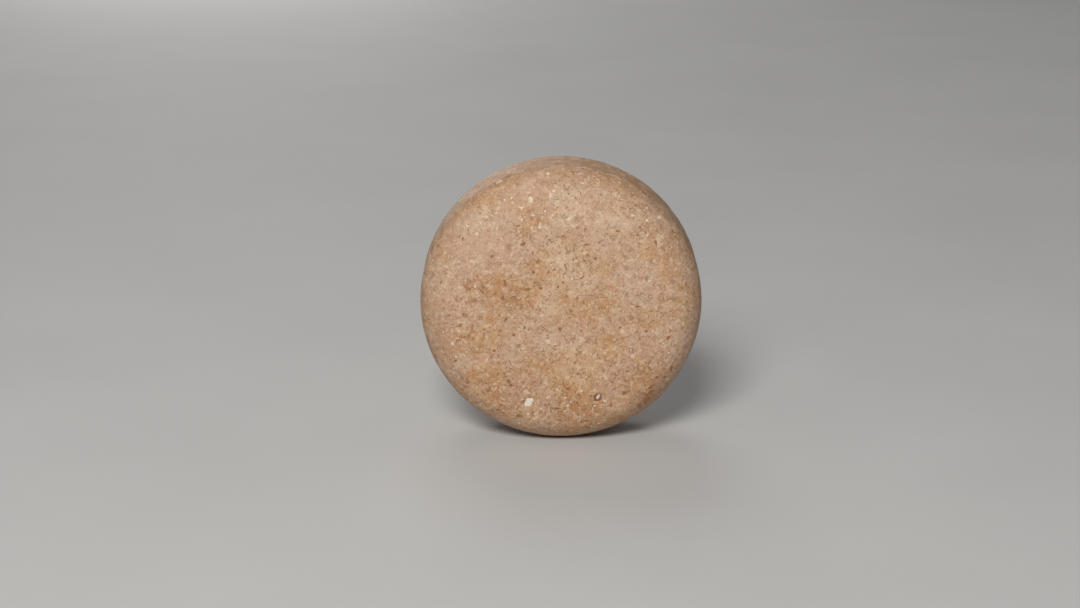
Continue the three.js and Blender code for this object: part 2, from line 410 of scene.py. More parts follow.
def mark_smeared(piece, seat, half_width, half_length, most=1.0):
    """Firm in the middle of the grain and smeared over at its edge."""
    to_own = seat.inverted()
    own = np.array([to_own @ Vector(point) for point in read_points(piece.data)])
    from_middle = np.hypot(own[:, 0] / half_width, own[:, 1] / half_length)
    store(piece, "firm", most * np.clip((SMEARED_FROM - from_middle) / SMEARED_WIDTH, 0, 1))


grains = {}
pockets = bmesh.new()
for node in GRAIN_NODES:
    if node.startswith("seed_"):
        continue
    seat, half_width, half_length, deep = grain_seats[node]
    sizes = (half_width + GRAIN_OVERLAP, half_length + GRAIN_OVERLAP, deep)
    flats = CHIP_FLATS if node == "white_base_grain" else 7
    grains[node] = crumb_piece(f"{node}_crumb", seat, sizes, node_seed(node), flats=flats)
    combine(grains[node], level_tool, "INTERSECT")
    mark_smeared(grains[node], seat, sizes[0], sizes[1], FIRMNESS.get(node, USUAL_FIRMNESS))
    add_crumb(pockets, seat, [size + POCKET_ROOM for size in sizes], node_seed(node), flats=flats)
print("grains cut level:", len(grains))

# %% [markdown]
# ## The seed in its husk
#
# Low on the face lies a seed that the press cut open: a brown husk round a pale kernel. The husk is a
# crumb hollowed by a smaller one, and the kernel is a crumb that fills the hollow. Soap has smeared over
# the husk's upper right side, and a brown skin still covers the kernel's edge.

# %% Husk and kernel
HUSK_WALL = 0.33
KERNEL_ROOM = 0.04
BARE_WIDTH, BARE_LENGTH = 0.55, 0.92     # how much of the kernel shows through its brown skin
HUSK_SEED = 5
HUSK_FIRM, FIRMER_LEFT, FIRMER_LOW, HUSK_LEAST = 0.55, 0.30, 0.35, 0.33     # the slopes are per millimetre
seed_seat, half_width, half_length, deep = grain_seats["seed_husk"]
husk_sizes = (half_width + GRAIN_OVERLAP, half_length + GRAIN_OVERLAP, deep)
hollow_sizes = [size - HUSK_WALL for size in husk_sizes]
kernel_sizes = [size - KERNEL_ROOM for size in hollow_sizes]

husk = crumb_piece("seed_husk_shell", seed_seat, husk_sizes, HUSK_SEED, flats=4)
hollow_tool = crumb_piece("hollow_tool", seed_seat, hollow_sizes, HUSK_SEED, flats=4)
combine(husk, hollow_tool, "DIFFERENCE")
combine(husk, level_tool, "INTERSECT")
discard(hollow_tool)
from_seat = read_points(husk.data) - np.array(seed_seat.translation)
husk_firm = HUSK_FIRM - FIRMER_LEFT * from_seat[:, 0] - FIRMER_LOW * from_seat[:, 2]
store(husk, "firm", np.clip(husk_firm, HUSK_LEAST, 1))

kernel = crumb_piece("seed_kernel_core", seed_seat, kernel_sizes, HUSK_SEED, flats=4, rough=0.03)
combine(kernel, level_tool, "INTERSECT")
mark_smeared(kernel, seed_seat, BARE_WIDTH * kernel_sizes[0], BARE_LENGTH * kernel_sizes[1])
grains["seed_husk"] = husk
grains["seed_kernel"] = kernel
add_crumb(pockets, seed_seat, [size + POCKET_ROOM for size in husk_sizes], HUSK_SEED, flats=4)

# %% [markdown]
# ## Where the clear flecks lie
#
# Between the grains lie smaller flecks, most of them about a millimetre long. The clear ones on the
# front face have chosen places, given here before anything is scattered, so that chance leaves them room.

# %% Places of the clear flecks
# Across and up from the middle, width, length, and the turn of the long side from the horizontal.
PALE_FLECKS = [
    (-2.6, 29.0, 0.5, 1.4, 80), (-3.3, 33.7, 0.8, 0.9, 20), (-9.6, 26.0, 0.7, 0.9, 40),
    (-9.6, 23.1, 0.5, 0.8, 100), (0.4, 26.0, 0.4, 1.2, 90), (5.0, -20.5, 0.6, 0.9, 10),
    (-1.0, -20.2, 0.5, 0.8, 60), (10.9, -23.2, 0.6, 1.0, 0), (7.9, -25.6, 0.4, 0.9, 85),
    (-8.1, -26.8, 0.6, 0.7, 30), (-6.4, -26.8, 0.7, 0.9, 150), (24.8, -9.2, 0.8, 1.0, 40),
    (-13.2, 9.7, 0.6, 0.8, 70), (17.6, -11.4, 0.9, 1.3, 30), (23.8, 23.0, 0.8, 1.2, 30),
    (28.2, 20.7, 0.7, 0.8, 0), (8.7, 33.6, 0.6, 0.8, 0), (11.2, 33.0, 0.5, 0.7, 30),
    (14.2, 31.3, 0.6, 1.2, -30), (-21.0, 6.5, 0.5, 0.9, 80),
    (-15.2, 31.2, 1.0, 2.0, 30), (28.4, 16.8, 0.5, 0.8, 80), (0.1, 30.2, 0.5, 0.7, 60),
    (13.0, 4.6, 0.4, 1.0, 15), (4.9, 8.9, 0.5, 0.9, 20), (-14.2, 16.4, 0.5, 0.9, 45),
    (17.2, 24.0, 0.6, 1.1, 20), (-28.5, 14.2, 0.5, 1.0, 60), (30.0, -3.4, 0.5, 1.1, 70),
    (-20.5, 19.5, 0.7, 1.0, 35), (20.9, 19.2, 0.5, 0.8, 60), (-16.1, -24.4, 0.4, 0.7, 20),
]
BROWN_FLECKS = [
    (-10.3, 21.6, 0.5, 0.7, 60), (-10.0, 12.2, 0.4, 0.5, 60), (-7.0, 14.9, 0.5, 0.8, -70),
    (-3.0, 18.2, 0.5, 0.6, 0), (8.2, 13.5, 0.6, 0.9, 40), (5.6, 13.0, 0.4, 1.0, -20),
    (-13.6, -2.0, 0.7, 1.6, 65), (-14.3, 3.6, 0.6, 1.2, 85), (-1.2, -12.5, 0.3, 1.1, 10),
    (5.0, -16.9, 0.4, 0.6, 0), (0.5, -18.3, 0.3, 1.5, 88), (-4.9, -18.4, 0.4, 0.7, 60),
    # The long thin fleck at (-1.4, -25.1) is painted shade: the dark line of a hairline crack in the skin,
    # drawn as a brown fleck with no crack under it.
    (-1.4, -25.1, 0.45, 3.4, -6), (-6.1, -21.1, 0.4, 0.6, 100), (-10.6, -27.3, 0.6, 0.9, 20),
    (-12.4, -19.0, 0.6, 0.7, 30), (-12.6, -13.0, 0.35, 1.8, -65), (-9.3, -18.2, 0.3, 1.2, 85),
    (7.3, -16.0, 0.3, 1.2, 85), (20.7, -19.0, 0.45, 0.5, 0),
    (25.7, -17.4, 0.6, 0.9, 80), (25.3, -15.0, 0.4, 0.6, 20), (22.5, -16.0, 0.6, 0.8, -20),
    (21.7, -13.2, 0.4, 1.6, 60), (28.2, -13.2, 0.35, 2.2, 48), (16.9, -20.6, 0.45, 0.55, 0),
    (-16.3, 30.8, 0.5, 0.9, 60), (19.0, 21.2, 0.5, 0.6, 0), (14.1, 17.5, 0.45, 0.6, 0),
    (5.2, 34.4, 0.5, 0.9, 0), (-10.8, 19.2, 0.5, 0.6, 30),
    (18.7, 1.3, 0.4, 1.3, 5), (26.6, 3.1, 0.4, 1.9, 25), (22.9, 17.2, 0.5, 1.7, -75),
    (-20.2, 25.7, 0.5, 0.9, 30), (-24.8, 18.6, 0.5, 0.7, 60), (14.4, -4.1, 0.5, 0.9, 40),
    (12.9, 12.9, 0.4, 0.7, 60), (-29.4, 7.2, 0.5, 1.2, 80), (-20.8, -21.8, 0.6, 0.7, 0),
    (-26.1, -13.0, 0.5, 0.9, 20), (-15.8, -26.0, 0.6, 1.2, 30), (9.1, 17.4, 0.4, 0.8, 10),
    (16.3, -15.4, 0.4, 0.9, 30), (-19.4, 5.1, 0.4, 1.3, -40), (0.3, -26.9, 0.35, 1.5, 170),
]
RUST_FLECKS = [
    (-6.8, 10.1, 0.6, 1.2, 85), (-3.2, 10.0, 0.5, 1.1, 75), (-1.7, 10.7, 0.45, 1.1, 20),
    (-5.1, 6.0, 0.7, 1.0, 0), (-0.8, 6.4, 0.5, 0.9, 65), (1.0, 11.4, 0.35, 1.8, -75),
    (5.0, 8.7, 0.5, 1.6, 40), (6.2, 17.0, 0.5, 1.4, 10), (-9.3, 17.2, 0.9, 1.4, 30),
    (0.3, 19.1, 0.6, 0.8, 20), (2.6, 34.0, 0.6, 0.9, 0), (-8.8, -4.0, 0.8, 1.2, 10),
    (-11.6, -5.9, 0.7, 1.0, 0), (1.7, -19.8, 0.8, 1.1, 20), (4.1, -16.0, 0.6, 0.9, 60),
    (27.4, 19.5, 1.3, 2.0, 70), (-0.3, -4.4, 0.8, 1.0, 60), (26.3, -6.9, 0.9, 1.2, 60),
    (20.8, -4.9, 0.5, 0.6, 0), (19.3, -6.9, 0.5, 0.8, 20), (-13.8, 7.6, 0.5, 1.3, -60),
    (-16.5, -10.0, 0.6, 0.9, 0), (12.4, -24.3, 0.8, 1.6, 85), (-30.2, 15.5, 0.6, 1.1, 50),
    (3.9, 3.4, 0.5, 0.9, 60), (18.0, 26.3, 0.7, 1.1, -30), (-5.7, 13.0, 0.5, 1.2, 80),
    (-28.3, 20.5, 0.7, 1.0, 20), (22.4, -19.8, 1.0, 1.8, 32), (22.1, -21.6, 1.4, 2.5, 34),
    (21.3, -23.5, 1.7, 2.1, 45), (24.2, -23.7, 0.8, 1.0, 50), (19.6, -24.9, 1.1, 1.5, 80),
    (15.6, -21.2, 0.8, 1.3, 35), (20.2, 28.4, 1.2, 1.9, -50), (21.6, 27.3, 0.7, 0.9, -40),
    (22.9, 17.3, 0.6, 1.1, 80), (-12.7, 32.4, 0.9, 2.0, -35), (-24.0, 18.2, 0.5, 1.0, 70),
    (16.7, -20.7, 0.5, 1.5, 35), (15.9, -17.9, 0.5, 1.2, -40), (-16.9, 14.0, 0.6, 1.0, 70),
    (13.6, 20.3, 0.6, 1.1, -20), (-23.0, -18.6, 0.8, 1.2, 50), (30.6, 6.4, 0.6, 1.2, 80),
]


# %% [markdown]
# ## Pores
#
# Where air was trapped or a bit of bran fell out, the skin has small dark holes. Many are scattered
# round chosen middles on the front face, where they gather, and the rest fall anywhere. The block's
# quads are even, so picking its corners by chance is the same as scattering over its area.

# %% Scatter pores, leaving room round what is already there
def face_point(x, z):
    """The point of the smooth skin on the front face that lies this far across and up from the middle."""
    radial = min(math.hypot(x, z), 0.995 * RIM_RADIUS)
    if radial < FLAT_RADIUS:
        height = HALF_THICKNESS
    elif radial < CORNER_CENTRE + CORNER_RADIUS * math.sin(CROWN_FALL):
        height = CROWN_CENTRE + math.sqrt(CROWN_RADIUS ** 2 - (radial - FLAT_RADIUS) ** 2)
    else:
        height = HALF_LAND + math.sqrt(CORNER_RADIUS ** 2 - (radial - CORNER_CENTRE) ** 2)
    spoke = radial / max(math.hypot(x, z), 1e-6)
    return np.array([x * spoke, -height, z * spoke])


dice = random.Random(41)
taken = [(seat.translation.copy(), max(half_width, half_length))
         for seat, half_width, half_length, _ in grain_seats.values()]
for x, z, _, length, _ in PALE_FLECKS + BROWN_FLECKS + RUST_FLECKS:
    taken.append((Vector(face_point(x, z)), length / 2))


def claim(point, reach, spacing=0.15):
    """Takes the place and returns True, if nothing else is too near."""
    point = Vector(point)
    if any((point - other).length < reach + other_reach + spacing for other, other_reach in taken):
        return False
    taken.append((point, reach))
    return True


def any_heading():
    return Vector((dice.gauss(0, 1), dice.gauss(0, 1), dice.gauss(0, 1)))


# Where the mix was finer, the front face is calm: across and up from the middle, and how far it reaches.
CALM_DRIFTS = [(-20.0, 17.0, 13.0), (-8.0, 29.0, 8.0), (8.0, 25.0, 8.0), (14.0, 12.0, 8.0)]
CALM_SHARE, CALM_CHANCE = 0.8, 0.75     # points nearer than this share of the reach count, this often


def calm(point):
    """True for most points of the calm areas."""
    near = any(math.hypot(point[0] - x, point[2] - z) < CALM_SHARE * reach
               for x, z, reach in CALM_DRIFTS)
    return point[1] < 0 and near and dice.random() < CALM_CHANCE


# Across and up from the middle of the front face, how far the pores spread, and how many there are.
PORE_FIELDS = [
    (23.5, -16.5, 3.6, 30), (20.0, -21.5, 2.6, 12), (-21.0, 25.5, 2.8, 10), (-9.5, 20.5, 2.6, 8),
    (-9.0, 6.0, 4.2, 12), (-1.0, -24.5, 5.0, 14), (-22.0, -4.0, 4.5, 8), (19.5, 10.0, 6.0, 9),
]
LOOSE_PORES = 70
PORE_NARROWEST, PORE_RANGE = 0.11, 0.2     # half its width, and how much wider the widest is


def gathered(fields):
    """Chance places on the face, thickest at the middle of each field."""
    return [(dice.gauss(x, spread * 0.6), dice.gauss(z, spread * 0.6))
            for x, z, spread, count in fields for _ in range(count)]


def anywhere(count):
    """Places picked by chance all over the block."""
    return [block_feet[dice.randrange(len(block_feet))] for _ in range(count)]


pore_places = [face_point(x, z) for x, z in gathered(PORE_FIELDS)] + anywhere(LOOSE_PORES)

pores_cut = 0
for point in pore_places:
    width = PORE_NARROWEST + PORE_RANGE * dice.random() ** 2.2
    length = width * dice.uniform(1.0, 1.9)
    if not calm(point) and claim(point, length):
        add_crumb(pockets, seat_at(point, any_heading()), (width, length, width * dice.uniform(0.5, 0.8)),
                  dice.randrange(10000), flats=5, rounds=2, rough=0.2)
        pores_cut += 1
print("pores:", pores_cut)

# %% Cut the pockets and the pores out of the block
pocket_tool = new_piece("pocket_tool", finished_mesh(pockets, "pocket_tool"))
combine(soap_block, pocket_tool, "DIFFERENCE")
discard(pocket_tool)
discard(level_tool)

# %% [markdown]
# The holes are darkened in colour as well, past the shadow the lamps give them: painted shade. We
# store with every corner how far it lies under the skin, and the soap's material reads that later.

# %% Remember how deep each corner lies
# The painted shade in the holes starts at the first depth and grows over the second.
HOLE_SHADE_START, HOLE_SHADE_RANGE = 0.02, 0.12     # how deep a hole starts to darken, and over how much more
cut_points = read_points(soap_block.data)
cut_feet, cut_outward = nearest_skin(cut_points)
under_skin = ((cut_feet - cut_points) * cut_outward).sum(axis=1) - skin_depth(cut_feet, cut_outward)
store(soap_block, "hollow", np.clip((under_skin - HOLE_SHADE_START) / HOLE_SHADE_RANGE, 0, 1))
print("corners inside holes:", int((under_skin > 0.05).sum()))


# %% [markdown]
# ## Fine flecks
#
# Flecks of pale soap base, brown bran and rust-red husk lie in hundreds: too many for a pocket each. A
# fleck is a thin lens with a ragged outline that stands a hair proud of the skin and dips into it, so it
# catches light like a flake that was pressed in. Its outer ring isn't firm, so soap will smear over it.
# Those of one kind are joined in one piece.

# %% One fleck
FLECK_CORNERS = 11
FLECK_PROUD, FLECK_SUNK = 0.022, 0.012     # its crest over the skin and its outline under it, in mm
SMEARED_EDGE = 1.25     # chosen flecks are this much larger, because soap smears over their edge


def add_fleck(build, seat, half_width, half_length, firmness, fleck_dice):
    """Adds one fleck to a bmesh: two rings, a crest over them and a root in the soap."""
    firm = build.verts.layers.float.get("firm") or build.verts.layers.float.new("firm")

    def corner_at(across, along, height, firm_here):
        corner = build.verts.new((seat @ Vector((across, along, height))) * MM + MIDDLE)
        corner[firm] = firm_here
        return corner

    turns = [2 * math.pi * step / FLECK_CORNERS for step in range(FLECK_CORNERS)]
    reaches = [fleck_dice.uniform(0.72, 1.08) for _ in turns]

    def ring(share, height, firm_here):
        return [corner_at(half_width * (share * reach) * math.cos(turn),
                          half_length * (share * reach) * math.sin(turn), height, firm_here)
                for turn, reach in zip(turns, reaches)]

    low = ring(1.0, -FLECK_SUNK, 0.0)
    high = ring(0.72, 0.8 * FLECK_PROUD, 0.8 * firmness)
    crest = corner_at(0, 0, FLECK_PROUD, firmness)
    root = corner_at(0, 0, -0.5 * half_width, 0.0)
    for step in range(FLECK_CORNERS):
        after = (step + 1) % FLECK_CORNERS
        build.faces.new((low[step], low[after], high[after], high[step]))
        build.faces.new((high[step], high[after], crest))
        build.faces.new((low[after], low[step], root))


# %% Lay the flecks
# Small white specks gather here: across and up, how far they spread, and how many there are.
WHITE_SPECK_FIELDS = [
    (-6.6, -27.2, 2.6, 26), (1.5, -24.2, 2.2, 14), (8.8, -25.2, 1.3, 6), (25.0, -9.5, 2.2, 6),
    (17.0, -9.0, 2.0, 5), (-24.0, 20.5, 2.5, 5), (26.5, 18.5, 2.0, 4), (-3.0, 28.0, 3.5, 5),
    (-24.0, -9.5, 3.0, 5), (-1.0, 8.5, 3.5, 6),
]
white_speck_places = gathered(WHITE_SPECK_FIELDS)

# The kinds: the chosen flecks, how many more are scattered, how wide the widest of those is, and how firm.
FLECK_KINDS = {
    "pale_flecks": (PALE_FLECKS, 340, 0.62, 0.8),
    "brown_flecks": (BROWN_FLECKS, 300, 0.60, 0.5),
    "rust_flecks": (RUST_FLECKS, 260, 0.62, 0.6),
    "white_specks": ([], 36, 0.44, 0.9),
}
flecks = {}
for kind, (chosen, scattered, largest, firmness) in FLECK_KINDS.items():
    build = bmesh.new()
    for x, z, width, length, turn in chosen:
        along = (math.cos(math.radians(turn)), 0, math.sin(math.radians(turn)))
        half_width, half_length = SMEARED_EDGE * width / 2, SMEARED_EDGE * length / 2
        add_fleck(build, seat_at(face_point(x, z), along), half_width, half_length, 1.0, dice)
    points = anywhere(scattered)
    points += [face_point(x, z) for x, z in white_speck_places] if kind == "white_specks" else []
    laid = len(chosen)
    for point in points:
        width = largest * (0.38 + 0.62 * dice.random() ** 2)
        length = width * dice.uniform(1.0, 2.4)
        if (kind != "brown_flecks" or not calm(point)) and claim(point, length / 2, spacing=0.03):
            add_fleck(build, seat_at(point, any_heading()), width / 2, length / 2, firmness, dice)
            laid += 1
    flecks[kind] = new_piece(kind, finished_mesh(build, kind))
    print(kind, laid)


# %% [markdown]
# ## A small language for materials
#
# Node trees written out node by node hide the thought. So a Wire wraps one output of a node and lets
# Python's own signs add the Math nodes, and a Board holds one material and adds any other node. Colours
# never go through Math, which would turn them grey: they are blended by a Mix node.

# %% Wire and Board
class Wire:
    """One output of a node. Sums and products of wires and numbers add Math nodes."""

    def __init__(self, board, socket):
        self.board = board
        self.socket = socket

    def _maths(self, operation, first, second):
        return self.board.add("ShaderNodeMath", {"operation": operation}, {0: first, 1: second})

    def __add__(self, other):
        return self._maths("ADD", self, other)

    __radd__ = __add__

    def __sub__(self, other):
        return self._maths("SUBTRACT", self, other)

    def __rsub__(self, other):
        return self._maths("SUBTRACT", other, self)

    def __mul__(self, other):
        return self._maths("MULTIPLY", self, other)


class Board:
    """One material and its nodes."""

    def __init__(self, name):
        self.material = bpy.data.materials.new(name)
        self.material.use_nodes = True
        self.tree = self.material.node_tree
        self.tree.nodes.clear()

    def add(self, kind, settings=None, inputs=None, output=0):
        """A node of this kind. Its settings come first, then its sockets' values and links."""
        node = self.tree.nodes.new(kind)
        for name, value in (settings or {}).items():
            setattr(node, name, value)
        for name, value in (inputs or {}).items():
            if isinstance(value, Wire):
                self.tree.links.new(value.socket, node.inputs[name])
            else:
                node.inputs[name].default_value = value
        return Wire(self, node.outputs[output])

    def vector(self, operation, first, second, output=0):
        """A Vector Math node. Its second value is a factor for SCALE and a vector for the others."""
        second_input = "Scale" if operation == "SCALE" else 1
        return self.add("ShaderNodeVectorMath", {"operation": operation},
                        {0: first, second_input: second}, output)

    def place(self, shift=(0.0, 0.0, 0.0)):
        """The place on the piece in millimetres, moved by a shift so that patterns don't coincide."""
        metres = self.add("ShaderNodeTexCoord", output="Object")
        return self.vector("ADD", self.vector("SCALE", metres, 1 / MM), shift)

    def cloud(self, place, size, detail=2.0, roughness=0.5):
        """Soft noise from 0 to 1 with lumps of this size in millimetres."""
        return self.add("ShaderNodeTexNoise", None,
                        {"Vector": place, "Scale": 1 / size, "Detail": detail, "Roughness": roughness})

    def wobbled(self, place, size, reach):
        """The same place pushed about by up to half this reach, so that shapes drawn there turn ragged."""
        inputs = {"Vector": place, "Scale": 1 / size, "Detail": 2.0}
        push = self.add("ShaderNodeTexNoise", None, inputs, "Color")
        push = self.vector("SCALE", self.vector("SUBTRACT", push, (0.5, 0.5, 0.5)), 2 * reach)
        return self.vector("ADD", place, push)

    def cells(self, place, size):
        """Cells of this size: how far each point is from its cell's middle, and two chance numbers."""
        distance = self.add("ShaderNodeTexVoronoi", {"feature": "F1"}, {"Vector": place, "Scale": 1 / size})
        chance = Wire(self, distance.socket.node.outputs["Color"])
        first = self.add("ShaderNodeSeparateColor", None, {"Color": chance}, "Red")
        second = Wire(self, first.socket.node.outputs["Green"])
        return distance, first, second

    def rise(self, value, start, end):
        """0 up to start, 1 from end on, and a smooth step between them. start may be the larger."""
        return self.add("ShaderNodeMapRange", {"interpolation_type": "SMOOTHSTEP"},
                        {"Value": value, "From Min": start, "From Max": end})

    def blend(self, share, colour, other, way="MIX"):
        """Two colours mixed by a share, as Blender's Mix node does."""
        settings = {"data_type": "RGBA", "blend_type": way}
        return self.add("ShaderNodeMix", settings, {0: share, 6: colour, 7: other}, 2)

    def finish(self, colour, roughness, height, height_mm, **constants):
        """Connects the surface and returns the material. height_mm is what a height of 1 stands for."""
        bump = self.add("ShaderNodeBump", None,
                        {"Height": height, "Strength": 1.0, "Distance": height_mm * MM})
        inputs = {"Base Color": colour, "Roughness": roughness, "Normal": bump}
        inputs.update({name.replace("_", " "): value for name, value in constants.items()})
        surface = self.add("ShaderNodeBsdfPrincipled", None, inputs)
        output = self.tree.nodes.new("ShaderNodeOutputMaterial")
        self.tree.links.new(surface.socket, output.inputs["Surface"])
        return self.material


# %% [markdown]
# ## The soap's own colour
#
# Clay soap is never one colour. Pink clay and yellower soap lie in broad drifts, with soft blotches of
# one to four millimetres in them, rusty, creamy and greyish. On top sits the grind: crumbs of half a
# millimetre and of one, and short curved fibres and rings, which are slivers and cross cuts of bran. The
# rim has been handled most, so it is stained browner in patches, and a broad tan band round the rim is
# partly handling stain and partly painted shade where the corner turns from the light.

# %% Colours of the mix
PINK_CLAY = (0.575, 0.382, 0.268, 1)
YELLOW_SOAP = (0.535, 0.302, 0.145, 1)
CREAM = (0.780, 0.610, 0.430, 1)
RUSTY_CLAY = (0.430, 0.205, 0.098, 1)
GREY_CLAY = (0.480, 0.355, 0.280, 1)
BRAN_BROWN = (0.310, 0.160, 0.078, 1)
STAIN_BROWN = (0.320, 0.170, 0.078, 1)
# The next tan is partly handling stain and partly painted shade round the rim.
HANDLED_AND_RIM_SHADE_TAN = (0.320, 0.205, 0.135, 1)
# The next brown is painted shade in the holes.
HOLE_SHADE_BROWN = (0.170, 0.085, 0.042, 1)

# Drifts on the front face: across and up from the middle, and how far they reach.
YELLOW_DRIFTS = [(-11.5, 4.0, 8.0), (-5.0, 11.5, 5.0), (5.0, -18.0, 10.0), (-18.0, -18.0, 7.0),
                 (14.0, -7.0, 5.0)]
PINK_DRIFTS = [(-18.0, 17.0, 12.0), (7.0, 24.0, 10.0), (18.0, 8.0, 7.0), (-4.0, -8.0, 5.0)]
DULL_DRIFTS = [(22.0, -19.0, 10.5), (-13.0, -22.0, 10.0), (3.0, -28.0, 9.0), (-13.0, 3.0, 5.0),
               (-27.0, -8.0, 7.0), (-19.5, 5.0, 6.5)]
PALE_DRIFTS = [(3.0, 10.0, 8.0), (-3.0, 2.0, 4.0), (1.0, 26.0, 7.0), (-19.0, 25.0, 5.0), (15.0, 25.0, 7.0),
               (4.0, -14.0, 7.0), (-1.0, 15.0, 5.0)]

# The blotches: shift, size, the noise values where they start and are full, their share and their tint.
BLOTCHES = [
    ((41.0, 5.0, 3.0), 4.0, 0.50, 0.64, 0.22, RUSTY_CLAY),
    ((6.0, 33.0, 9.0), 3.4, 0.52, 0.66, 0.24, CREAM),
    ((23.0, 9.0, 31.0), 1.9, 0.52, 0.68, 0.50, GREY_CLAY),
    ((11.0, 3.0, 8.0), 1.15, 0.50, 0.68, 0.52, RUSTY_CLAY),
    ((2.0, 17.0, 5.0), 1.5, 0.52, 0.72, 0.46, CREAM),
]


# %% Pieces of pattern
def drift_mask(board, place, drifts):
    """1 in the middle of the drifts and 0 outside them, with cloudy edges."""
    wander = (board.cloud(place, 5.0, 3.0) - 0.5) * 9.0
    mask = None
    for x, z, reach in drifts:
        centre = Vector((x, -HALF_THICKNESS, z)) + MIDDLE / MM
        away = board.vector("DISTANCE", place, centre, "Value")
        drift = board.rise(away + wander, reach, reach * 0.35)
        mask = drift if mask is None else mask + drift
    return mask


def blotches(board, shift, size, start, end):
    """A mask of soft blotches with ragged edges."""
    place = board.wobbled(board.place(shift), size * 0.6, size * 0.8)
    return board.rise(board.cloud(place, size, 3.0, 0.6), start, end)


def crumbs(board, place, size, share_dark, share_light):
    """Two masks of crumbs of one size: the few dark ones and the few light ones."""
    away, chance, _ = board.cells(place, size)
    body = board.rise(away, 0.55, 0.30)
    dark = board.rise(chance, share_dark, share_dark * 0.7) * body
    light = board.rise(chance, 1 - share_light, 1 - share_light * 0.7) * body
    return dark, light


def fibres(board, shift, size, thickness, share):
    """Short curved lines: a soft noise is at its middle value along a line, and a mask breaks it up."""
    place = board.wobbled(board.place(shift), size, size * 0.35)
    off_middle = board.cloud(place, size, 1.0) - 0.5
    line = board.rise(off_middle * off_middle, thickness ** 2, (thickness * 0.4) ** 2)
    elsewhere = board.place((shift[1], shift[2], shift[0]))
    kept = board.rise(board.cloud(elsewhere, size * 0.8, 1.0), share, share + 0.06)
    return line * kept


def cut_hulls(board, shift, size, share):
    """Rings: a hull cut across. Only some cells have one, and each ring is broken by the wobble."""
    place = board.wobbled(board.place(shift), size * 0.4, size * 0.22)
    away, chance, other_chance = board.cells(place, size)
    off_ring = away - (0.17 + other_chance * 0.12)
    ring = board.rise(off_ring * off_ring, 0.0030, 0.0006)
    return ring * board.rise(chance, 1 - share, 1.02 - share)


# %% The mix itself
GRAIN_RELIEF = 0.08     # millimetres between the low and the high of the grain
SOAP_IOR = 1.47
SOAP_GLOSS = 0.35       # a little under the usual 0.5, because the skin is dull


def soap_pattern(board):
    """The colour of the pressed mix, the height of its grain, its fine grit and its stain.

    A share of 0.25 in a blend means that a quarter of the way is gone to the second colour.
    """
    place = board.place()
    grit_place = board.wobbled(board.place((3.0, 51.0, 27.0)), 0.5, 0.25)
    crumb_place = board.wobbled(board.place((31.0, 7.0, 12.0)), 1.0, 0.7)

    # Broad drifts of the two soaps, and clouds of light and shade.
    tone = board.rise(board.cloud(place, 11.0, 3.0, 0.55), 0.36, 0.66)
    tone = tone * 0.7 + drift_mask(board, place, YELLOW_DRIFTS) * 0.5
    tone = tone - drift_mask(board, place, PINK_DRIFTS) * 0.5
    colour = board.blend(board.rise(tone, -0.15, 1.0), PINK_CLAY, YELLOW_SOAP)
    dull = drift_mask(board, place, DULL_DRIFTS)
    colour = board.blend(dull * 0.40, colour, RUSTY_CLAY)
    colour = board.blend(drift_mask(board, place, PALE_DRIFTS) * 0.30, colour, CREAM)

    for shift, size, start, full, share, tint in BLOTCHES:
        colour = board.blend(blotches(board, shift, size, start, full) * share, colour, tint)

    # The grind. It is fainter where the mix is calm and stronger where it is dull.
    strength = 1.0 - drift_mask(board, place, CALM_DRIFTS) * 0.5 + dull * 0.35
    fine_dark, fine_light = crumbs(board, grit_place, 0.52, 0.24, 0.20)
    coarse_dark, coarse_light = crumbs(board, crumb_place, 1.05, 0.16, 0.12)
    colour = board.blend(fine_dark * strength * 0.40, colour, BRAN_BROWN)
    colour = board.blend(fine_light * 0.40, colour, CREAM)
    colour = board.blend(coarse_dark * strength * 0.45, colour, RUSTY_CLAY)
    colour = board.blend(coarse_light * 0.45, colour, CREAM)

    # Slivers and cross cuts of bran.
    slivers = fibres(board, (5.0, 13.0, 2.0), 1.7, 0.032, 0.55)
    slivers = slivers + fibres(board, (19.0, 1.0, 7.0), 2.9, 0.022, 0.56)
    hulls = cut_hulls(board, (8.0, 21.0, 14.0), 2.3, 0.17)
    dark_lines = board.rise(slivers + hulls, 0.1, 1.0)
    light_lines = fibres(board, (14.0, 6.0, 25.0), 1.9, 0.028, 0.55)
    colour = board.blend(dark_lines * strength * 0.64, colour, BRAN_BROWN)
    colour = board.blend(light_lines * 0.62, colour, CREAM)

    # Grit, as light and shade of the same colour.
    cloudy = board.cloud(crumb_place, 2.6, 4.0, 0.62)
    gritty = board.cloud(grit_place, 0.34, 3.0, 0.7)
    shade = board.rise(cloudy * 0.35 + gritty * 0.65, 0.30, 0.70)
    shadow = board.blend(shade, (0.30, 0.28, 0.26, 1), (0.70, 0.70, 0.70, 1))
    colour = board.blend(0.75, colour, shadow, "SOFT_LIGHT")

    # The handled rim: a broad tan band, partly handling stain and partly painted shade, then patches of
    # stain at the very edge.
    across = board.vector("MULTIPLY", place, (1, 0, 1))
    from_axis = board.vector("DISTANCE", across, (MIDDLE.x / MM, 0, MIDDLE.z / MM), "Value")
    handled_and_rim_shade = board.rise(from_axis + (cloudy - 0.5) * 5.0, RIM_RADIUS - 10.0, RIM_RADIUS - 3.0)
    colour = board.blend(handled_and_rim_shade * 0.20, colour, HANDLED_AND_RIM_SHADE_TAN)
    stained = board.rise(from_axis + (cloudy - 0.5) * 4.0, RIM_RADIUS - 1.9, RIM_RADIUS + 0.1)
    stained = stained * board.rise(board.cloud(crumb_place, 2.4, 3.0, 0.6), 0.42, 0.58)
    colour = board.blend(stained * 0.62, colour, STAIN_BROWN)

    height = gritty * 0.55 + cloudy * 0.5 - fine_dark * 0.3 + fine_light * 0.15 - coarse_dark * 0.25
    height = height - dark_lines * 0.5 + light_lines * 0.2
    return colour, height, gritty, stained


